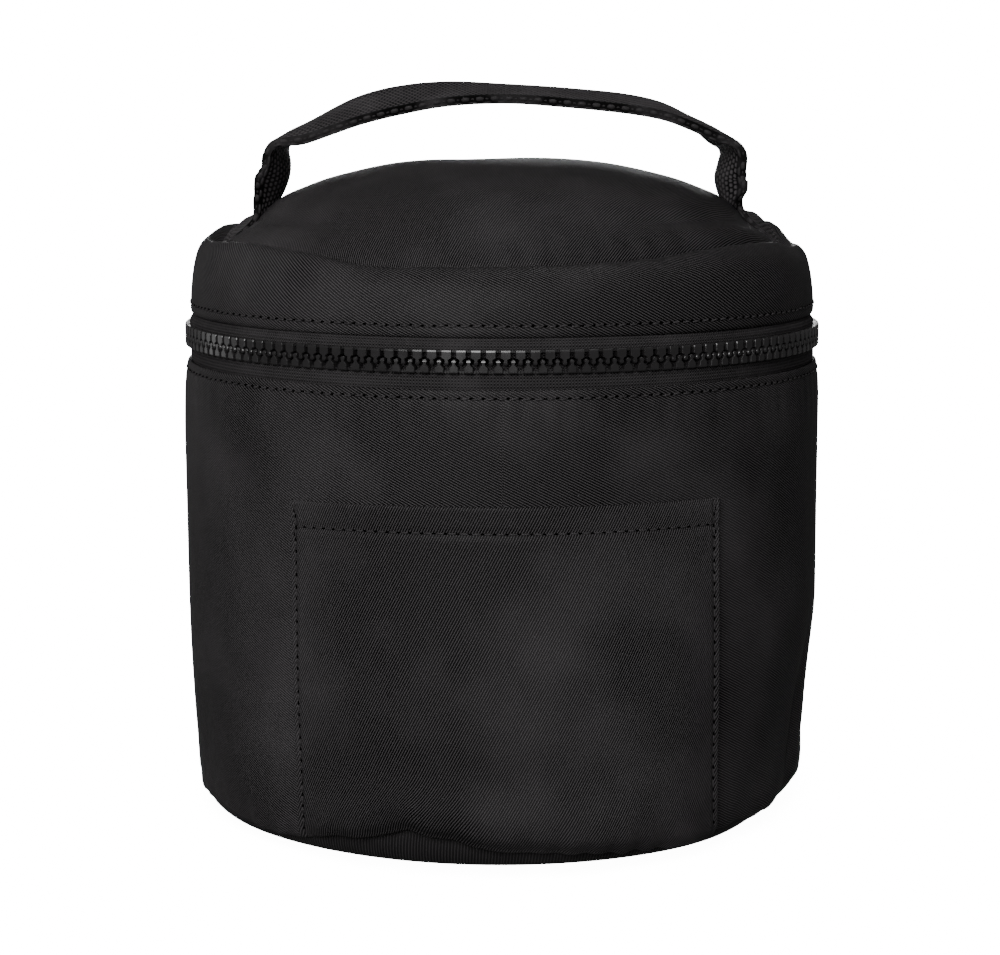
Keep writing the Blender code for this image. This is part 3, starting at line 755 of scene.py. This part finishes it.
def make_slider():
    """The slider parked at the closed end: shield, bail and back plate, with a ribbed pull lying along the zip."""
    pivot = float(np.hypot(*PULL_AT[:2]))
    face = pivot - 0.95
    shield = mirrored([(-5.4, 0.6), (-5.2, 2.6), (-4.4, 3.9), (-2.4, 4.5), (1.5, 5), (4.2, 5), (5.2, 4.5), (5.5, 3.2)])
    shape = slab(shield, face - 1.2, face)
    rim = mirrored([(-4.2, 0.5), (-3.9, 2.4), (-3.2, 3.2), (-1.8, 3.6), (1.5, 4), (3.4, 4), (4.1, 3.6), (4.3, 2.5)])
    shape = both(shape, slab(rim, face - 0.4, face + 0.1, 0.2))
    for end in (-1, 1):
        post = [(end * 3 + x, z) for x, z in mirrored([(-0.65, 0.9), (-0.4, 1.2), (0.4, 1.2), (0.65, 0.9)])]
        shape = both(shape, slab(post, face - 0.4, face + 2.9, 0.25))
    bridge = mirrored([(-3.6, 0.8), (-3.2, 1.2), (3.2, 1.2), (3.6, 0.8)])
    shape = both(shape, slab(bridge, face + 2, face + 3, 0.4))
    at_slider("slider_shield", shape, "slider", "slider_body")
    back = node_box("slider_back_plate")
    back_r = float(np.hypot(*((back[0] + back[1])[:2] / 2)))
    plate = mirrored([(-5.4, 0.6), (-5.2, 2.8), (-4.2, 4.2), (-2, 4.8), (3, 5), (5, 4.6), (5.5, 3.4)])
    at_slider("slider_back", slab(plate, back_r - 0.4, back_r + 0.4, 0.25), "slider", "slider_back_plate")

    arm = [(-0.9, 1.9), (-0.4, 2.8), (0.8, 3), (5, 3), (5, 1.9), (4, 1.6), (-0.2, 1.6), (-0.9, 1.75)]
    top, bottom = pivot + 0.62, pivot - 0.62
    shape = both(slab(arm, bottom, top, 0.2), slab([(x, -z) for x, z in arm[::-1]], bottom, top, 0.2))
    pin = mirrored([(-0.6, 1.7), (-0.3, 2), (0.3, 2), (0.6, 1.7)])
    shape = both(shape, slab(pin, pivot - 0.5, pivot + 0.5, 0.25))
    plate = mirrored([(4.4, 2.6), (5, 3), (22, 3.05), (24.3, 2.6), (25.6, 1.6), (26, 0.5)])
    shape = both(shape, slab(plate, bottom + 0.05, top - 0.05, 0.3))
    for x in np.arange(9, 22, 1.7):
        rib = mirrored([(x - 0.4, 1.9), (x - 0.25, 2.2), (x + 0.25, 2.2), (x + 0.4, 1.9)])
        shape = both(shape, slab(rib, top - 0.3, top + 0.2, 0.15))
    at_slider("pull", shape, "pull", "pull_tab")


# ---- lid

# Height of the lid's top seam by azimuth in degrees: lowest at the front, highest at each side.
SEAM_LINE = [(-180, 151.5), (-110, 153.2), (-72, 153.3), (-51, 153.6), (-37, 152.1), (-23, 150.1), (-10, 150.1),
             (11, 150.6), (27, 151.8), (40, 153.5), (54, 154.1), (70, 153.5), (110, 153.2), (180, 151.5)]
FRONT_SEAM = 150.4


def seam_lift(a):
    return curve(SEAM_LINE, np.degrees(near_front(a))) - FRONT_SEAM


def pressed(a):
    """How far the seam and the cloth before it are pressed down under the strap's ends."""
    return 3.2 * hump(np.abs(near_front(a)), 1.47, 0.17)


def puff(a):
    """How much the cloth stands up just behind the strap's ends."""
    a = near_front(a)
    return np.where(a > 0, 2.2, 1) * hump(np.abs(a), 1.86, 0.15)


def pucker(a):
    """Where the cloth is gathered into the seam: small folds right of the front, nearly none on the left."""
    return 0.25 + hump(a, 0.55, 0.33) + 0.35 * hump(a, 0.05, 0.25)


def band_shape(a, r, z, s):
    a = near_front(a)
    push = 0.25 * dents(a, z, 51, 6, 0.06) * rise(z, BAND_LOW + 2, BAND_LOW + 8)
    push -= 0.3 * hump(z, BAND_LOW + 2.7, 0.8) * (0.8 + 0.2 * np.cos(a * 179)) * (r > BAND_R - 0.3)
    push += 0.4 * ripple(a, 52, 8, 18) * hump(z, BAND_HIGH - 3, 3) * (r > 78)
    push += 0.2 * ripple(a, 53, 36, 70) * hump(r, 77.8, 1.6) * rise(z, BAND_HIGH - 5, BAND_HIGH - 2) * pucker(a)
    behind = rise(np.abs(a), 1.55, 1.8) * (1 - 0.6 * rise(np.abs(a), 2, 2.8))
    roll = 1.6 * behind * hump(r, 79, 4) + puff(a) * rise(r, 84, 78) - pressed(a) * rise(r, 80.5, 77)
    level = seam_lift(a) - 1.2 * np.sin(a) * rise(r, 77, 81)
    return push, level * rise(z, BAND_HIGH - 15, BAND_HIGH - 3) + roll * rise(z, BAND_HIGH - 6, BAND_HIGH - 2)


def band_line():
    roll = [(-0.9, 146.6), (0, 148.8), (0.7, 150), (1.8, 150.55), (3.6, 150.4), (5.6, 149.2), (7.3, 147.2),
            (8.5, 144.3)]
    hem = [(0.4, 4.2), (0.55, 2.7), (0.5, 1), (0.2, 0.1), (-0.4, -0.15), (-0.95, 0.3), (-1.1, 1.6), (-1.1, 4)]
    return [*offset(DOME_R, 0, roll), (BAND_R + 0.1, 141), *offset(BAND_R, BAND_LOW, hem)]


def dome_lift(a, r):
    side = np.sin(a) ** 2
    level = (seam_lift(a) - pressed(a)) * rise(r, 64, 72) + puff(a) * rise(r, 65, 72)
    return level + side * (0.6 * hump(r, 60, 5) - 1.8 * hump(r, 68.5, 4.5))


def dome_shape(a, r, z, s):
    a = near_front(a)
    push = 0.22 * ripple(a, 61, 12, 30) * rise(r, DOME_R - 16, DOME_R - 2) * rise(r, DOME_R + 0.5, DOME_R - 3)
    gather = ripple(a, 62, 44, 84) * rise(r, DOME_R - 8, DOME_R - 1.5) * rise(r, DOME_R + 0.8, DOME_R - 1.5)
    push += 0.24 * gather * pucker(a)
    push += 0.4 * dents(a, r, 63, 3, 0.05) * rise(r, 4, 30) * rise(r, DOME_R, DOME_R - 20)
    return push, dome_lift(a, r)


def dome_line():
    share = [(0.004, 1), (0.14, 0.998), (0.27, 0.985), (0.4, 0.945), (0.53, 0.865), (0.66, 0.755), (0.78, 0.585),
             (0.88, 0.385), (0.94, 0.23), (0.985, 0.085), (1, -0.02), (0.985, -0.12)]
    return [(x * DOME_R, DOME_LOW + y * (DOME_TOP - DOME_LOW)) for x, y in share]


def make_lid():
    band = turned("lid_band_cloth", band_line(), 0.8, 600, shape=band_shape)
    finish_piece(band, BAND_TWILL, "nylon_twill", "lid", "lid_band")
    dome = turned("lid_dome_cloth", dome_line(), 1.2, 540, shape=dome_shape, flat_uv=True)
    finish_piece(dome, DOME_TWILL, "nylon_twill", "lid", "lid_top_panel")


# ---- handle

# Middle line of the strap from its left end in the seam to its right one: x, z, and the lean in degrees of its
# front edge towards the inside of the arch.
STRAP_PATH = [(-77.8, 147, 0), (-75.6, 149.6, 0), (-73.5, 152.4, 0), (-71, 155, 0), (-68.8, 156.9, 0),
              (-66.4, 158.5, -1), (-64.6, 160.1, -5), (-63.4, 161.8, -8), (-62, 164, -9), (-60.5, 167, -9),
              (-59.6, 170, -9), (-59.6, 173, -9), (-60.4, 176, -7), (-60.3, 178.6, -3), (-57.6, 180.8, 2),
              (-53.2, 182.6, 7), (-45, 185.4, 11), (-36.8, 188.2, 13), (-28, 190.3, 13), (-15.5, 192, 10.5),
              (1, 192.1, 7), (18, 191, 7), (34.5, 189.3, 7), (43, 187.6, 6), (50, 185.1, 4), (54.2, 183.4, 2),
              (58, 181.4, -1), (61, 179, -4), (61.8, 176, -7), (60.6, 172.8, -8), (59.6, 169.5, -8), (60.4, 165.2, -5),
              (61.8, 161.8, 0), (63.4, 159.6, 0), (66, 157.8, 0), (69.4, 155.4, 0), (72.6, 152.4, 0), (75.6, 149.4, 0),
              (77.8, 147, 0)]
STRAP_THICK = 2.4
EDGE_PITCH = 3.9  # one weft to the next along the strap's edge
# The wefts turning at its edge: name, place out of the strap's face, start in pitches, and length, width and height.
EDGE_BEADS = (("selvedge", 0.2, 0, (2.4, 1.5, 1.7)), ("under_selvedge", -0.85, 0.5, (2.7, 0.8, 1.5)),
              ("tie", 0.2, 0.5, (1.05, 0.6, 1.4)))


def dome_height(x, y):
    path = smooth_line(dome_line(), 1.3)[:-6]
    r = np.hypot(x, y)
    past_seam = 4 * rise(r, DOME_R - 1, DOME_R + 3)
    return np.interp(r, path[:, 0], path[:, 1]) + dome_lift(np.arctan2(x, -y), r) - past_seam


def bend_at_foot(piece):
    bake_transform(piece)


def make_handle():
    """One webbing strap from seam to seam: flat on the lid, folded up at its feet, and twisted in its legs."""
    path = smooth_line(STRAP_PATH, 0.33)
    lean = np.radians(path[:, 2])
    path = path[:, :2]
    along = run_length(path)
    run = unit(np.gradient(path, along, axis=0))
    height = path[:, 1]
    pinch = 1 - 0.5 * hump(height, 160.4, np.where(path[:, 0] > 0, 3, 5.5))
    cup = 3.6 * hump(height, 167, 8.5) - 1.5 * hump(height, 181.5, 3.2)
    zero = 0 * along
    inside = np.stack([run[:, 1], zero, -run[:, 0]], -1)
    across = np.cos(lean)[:, None] * np.array([0, 1, 0]) - np.sin(lean)[:, None] * inside
    normal = -(np.cos(lean)[:, None] * inside + np.sin(lean)[:, None] * np.array([0, 1, 0]))
    centre = np.stack([path[:, 0], zero, height], -1)

    face = np.linspace(1, -1, 76)
    bend = np.linspace(0, math.pi, 9)[1:-1]
    wide = np.concatenate([face, -1 - 0 * bend, -face, 1 + 0 * bend])
    thick = np.concatenate([1 + 0 * face, np.cos(bend), -1 + 0 * face, -np.cos(bend)])
    s, v = np.meshgrid(along, wide * STRAP_HALF, indexing="ij")
    t = np.broadcast_to(thick, s.shape)
    shift = FLOAT_SHIFT * np.floor(v / FLOAT_WIDTH)
    cells = np.abs(np.sin(math.pi * v / FLOAT_WIDTH) * np.sin(math.pi * (s / FLOAT_LENGTH + shift)))
    out = t * STRAP_THICK / 2 + 0.3 * (cells - 0.5) * np.sign(t) * rise(np.abs(v), STRAP_HALF - 0.4, STRAP_HALF - 1.6)

    def on_strap(v, out):
        """A place across the strap by v and out of its face by out; its ends are sunk into the lid's cloth."""
        cupped = out + cup[:, None] * (np.abs(v) / STRAP_HALF) ** 2
        points = centre[:, None] + across[:, None] * (v * pinch[:, None])[..., None]
        points = points + normal[:, None] * cupped[..., None]
        sunk = 1.3 * rise(np.abs(points[..., 0]), 64, 75)
        bed = dome_height(points[..., 0], points[..., 1]) + STRAP_THICK / 2 + 0.1 - sunk
        laid = rise(height, 161.4, 158.6)[:, None]
        points[..., 2] = points[..., 2] * (1 - laid) + (bed + out) * laid
        foot = (height < 163)[:, None]
        points[..., 2] = np.where(foot, np.maximum(points[..., 2], bed + out - STRAP_THICK / 2), points[..., 2])
        return points

    points = on_strap(v, out)
    uv = np.stack(np.broadcast_arrays(along[:, None], np.append(wide, 1)[None, :] * STRAP_HALF), -1)
    strap = grid("handle_webbing", points, uv, wrap=True)
    finish_piece(strap, WEBBING, "webbing", None, "handle_strap", "handle_end_left", "handle_end_right")
    bend_at_foot(strap)

    for name, side in (("front", -1), ("back", 1)):
        for part, out, first, size in EDGE_BEADS:
            line = on_strap(np.full((len(along), 1), side * (STRAP_HALF - 0.45)), np.full((len(along), 1), out))[:, 0]
            at = np.arange(2 + first * EDGE_PITCH, along[-1] - 2, EDGE_PITCH)
            x = unit(read_at(at + 0.5, along, line) - read_at(at - 0.5, along, line))
            y = square_to(x, read_at(at, along, across) * side)
            beads = scatter(f"handle_{name}_{part}", bead(*size), (read_at(at, along, line), x, y, np.cross(x, y)))
            finish_piece(beads, SELVEDGE, "webbing", None)
            bend_at_foot(beads)


# ---- hinge, flap and inside

def make_hinge_panel():
    low, high = node_box("hinge_panel")
    line = (offset(high[1], high[2], [(-1.4, 2.6), (-1, 0.4), (-0.2, -1.4), (0.3, -4.5)])
            + offset(high[1], low[2], [(0.35, 4.5), (0, 1.4), (-0.5, -0.4), (-0.8, -2.6)]))

    def shape(a, r, z, s):
        return 0.25 * dents(a, z, 71, 12, 0.2), 0

    panel = turned("hinge_cloth", line, 0.6, 150, (math.pi - HINGE_HALF_ARC, math.pi + HINGE_HALF_ARC), shape)
    finish_piece(thicken(panel, 0.8), BODY_TWILL, "nylon_twill", None, "hinge_panel")
    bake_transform(panel)


def inner_ring(name, line, material, slot, body, node, seed=0, wave=0.15, step=2, thickness=0, inward=None):
    """A lining, foam or binding turned round the bag, slightly uneven."""
    def shape(a, r, z, s):
        return wave * dents(a, z, seed, 7, 0.06) * rise(r, 2, 20), 0

    piece = turned(name, line, step, 240, None, shape, inward)
    if thickness:
        thicken(piece, thickness)
    return finish_piece(piece, material, slot, body, node)


def make_inside():
    rim = node_box("side_lining")[1][2]
    floor = node_box("base_lining")[1][2]
    top = node_box("lid_top_lining")[1][2]
    skirt = node_box("lid_band_lining")[0][2]
    side = [(83.3, rim), (83.2, 113.7), (82.7, 108.5), (83.1, 55), (81.9, 21.5), (80.6, 10.3), (79.7, 8.2)]
    under = [(0.4, top - 0.3), (19.5, top - 0.7), (38.8, 166.1), (51.8, 161.8), (62, 155.2), (71.3, 148.5),
             (77.1, 146.2)]
    around = [(77.9, 145.8), (78.9, 143.6), (79.1, 141.8), (79.1, skirt + 0.1)]
    for node, line, body, seed, wave, inward in (
            ("side_lining", side, "body", 81, 0.12, drawn_in),
            ("base_lining", [(77.5, floor - 0.2), (60, floor), (30, floor), (0.4, floor)], "body", 82, 0.15, None),
            ("lid_top_lining", under, "lid", 83, 0.15, None),
            ("lid_band_lining", around, "lid", 84, 0.08, None)):
        inner_ring(f"{node}_cloth", line, LINING, "lining", body, node, seed, wave, inward=inward)
    for part, line, body in (("base", [(81.5, 4.9), (80.5, 4.6), (79.5, 4.2)], "body"),
                             ("lid", [(73.6, 149.3), (75.5, 149.5), (77.4, 149.6)], "lid")):
        inner_ring(f"{part}_binding", line, LINING, "lining", body, f"{part}_seam_binding", wave=0, thickness=0.4)
    side = [(83.4, 107.2), (84.6, 107.5), (85.7, 107.2), (85.8, 90), (86, 70), (86, 50), (85.2, 30), (84.2, 18),
            (81, 10), (79.9, 8.2), (79.4, 8.8), (81.6, 14), (82.8, 25), (83.8, 50), (83.9, 70), (83.6, 90),
            (83.4, 107.2)]
    base = [(0.4, 6.3), (60, 6.3), (77.4, 6.2), (77.9, 4.9), (77.4, 3.5), (60, 3.45), (0.4, 3.45)]
    dome = [(0.4, 173.5), (19.8, 173.1), (39.7, 170), (54.5, 165.1), (65.2, 158.9), (69.7, 155.2), (67.7, 152.8),
            (63.5, 156.2), (53.1, 162.1), (38.9, 166.8), (19.6, 169.8), (0.4, 170.2)]
    band = [(79, 146.6), (80, 147), (81, 146), (81.7, 142.5), (81.8, 138.6), (80.9, 138.3), (79.9, 138.6), (79.8, 143),
            (79, 146.6)]
    for part, line, body, inward in (("side", side, "body", drawn_in), ("base", base, "body", None),
                                     ("lid", dome, "lid", None),
                                     ("lid_band", band, "lid", None)):
        foam = inner_ring(f"{part}_foam", line, FOAM, "foam", body, f"{part}_padding", wave=0, inward=inward)

    def flap_shape(a, r, z, s):
        push = 0.5 * ripple(a, 91, 5, 16) * rise(z, 118, FLAP_HIGH)
        return push, 0.4 * ripple(a, 92, 4, 12) * rise(z, 130, FLAP_HIGH)

    half = TEETH_HALF_ARC - 0.02
    line = [(77.3, FLAP_HIGH - 0.4), (78.4, 136), (79.3, 132.7), (80, 127.5), (80.5, 123.2), (81.6, 119.3), (82.3, 117),
            (82.3, FLAP_LOW)]
    flap = turned("light_flap_cloth", line, 0.8, 420, (-half, half), flap_shape)
    finish_piece(flap, LINING, "lining", "body", "light_flap")


def dress_hard_parts():
    """The hard CAD nodes that keep their shape: the zip's stops and the base board."""
    for node in ("zip_top_stop_lower", "zip_top_stop_upper", "zip_bottom_stop", "base_board"):
        for entry in frame["nodes"][node].material_slots:
            entry.material = BOARD if node == "base_board" else TEETH


# ---- stage

CAMERA_PLACE, CAMERA_TARGET = (0, -0.6808, 0.1911), (0, 0, 0.07)
LENS, SENSOR = 89.1, 36
CAMERA_SHIFT = (-0.002, 0.06)
FLOOR_HALF = 4000
FLOOR_GLOW = 13
FLOOR_LIGHT = 17
BACKDROP = 18  # how bright the backdrop looks
ROOM = 0.1  # how much light the studio's walls give


def make_stage():
    points = FLOOR_HALF * np.array([(-1, -1, 0), (1, -1, 0), (1, 1, 0), (-1, 1, 0)])
    floor = new_mesh("floor", points, np.array([[0, 1, 2, 3]]))
    nodes = Nodes("pale_floor")
    nodes.set(Base_Color=(0.9, 0.9, 0.9), Roughness=1, Specular_IOR_Level=0)
    nodes.set(Emission_Color=(1, 1, 1), Emission_Strength=FLOOR_GLOW)
    floor.data.materials.append(nodes.material)
    floor.visible_diffuse = floor.visible_glossy = False
    world = bpy.data.worlds.new("studio")
    world.use_nodes = True
    tree = world.node_tree
    seen = tree.nodes.new("ShaderNodeLightPath").outputs["Is Camera Ray"]
    strength = tree.nodes.new("ShaderNodeMath")
    strength.operation = "MULTIPLY_ADD"
    tree.links.new(seen, strength.inputs[0])
    strength.inputs[1].default_value = BACKDROP
    strength.inputs[2].default_value = ROOM
    tree.links.new(strength.outputs[0], tree.nodes["Background"].inputs["Strength"])
    tree.nodes["Background"].inputs["Color"].default_value = (1, 1, 1, 1)
    bpy.context.scene.world = world
    sun = bpy.data.lights.new("floor_light", "SUN")
    sun.energy, sun.angle = FLOOR_LIGHT, math.radians(75)
    lamp = put("floor_light", sun)
    lit = bpy.data.collections.new("lit_by_floor_light")
    lit.objects.link(floor)
    lamp.light_linking.receiver_collection = lit


def aim(piece, place, target):
    """Puts a light or a camera at a place, looking at a target."""
    piece.location = place
    piece.rotation_euler = (Vector(target) - Vector(place)).to_track_quat("-Z", "Y").to_euler()


def area_light(name, place, target, size, power):
    light = bpy.data.lights.new(name, "AREA")
    light.shape = "RECTANGLE"
    light.size, light.size_y = size
    light.energy = power
    aim(put(name, light), place, target)


def make_camera():
    data = bpy.data.cameras.new("camera")
    data.lens, data.sensor_width = LENS, SENSOR
    data.shift_x, data.shift_y = CAMERA_SHIFT
    camera = put("camera", data)
    aim(camera, CAMERA_PLACE, CAMERA_TARGET)
    bpy.context.scene.camera = camera


make_camera()
make_stage()
area_light("key", (-0.28, -1.28, 0.64), (0, 0, 0.09), (0.7, 0.7), 15.8)
area_light("side", (-1.1, 0.6, 0.35), (0, 0, 0.09), (0.5, 0.9), 1.1)
area_light("top", (0.1, -0.1, 1.2), (0, 0, 0.12), (0.7, 0.7), 1.9)
area_light("back", (0, 1.3, 0.1), (0, 0, 0.08), (0.5, 0.5), 6)

make_body_panel()
make_base()
make_pocket()
make_zip()
make_slider()
make_lid()
make_handle()
make_hinge_panel()
make_inside()
dress_hard_parts()
stitch_ring("body_top_stitch", BODY_TOP_R + 0.28, BODY_TOP - 2, "body")
stitch_ring("band_stitch", BAND_R + 0.5, BAND_LOW + 2.7, "lid")
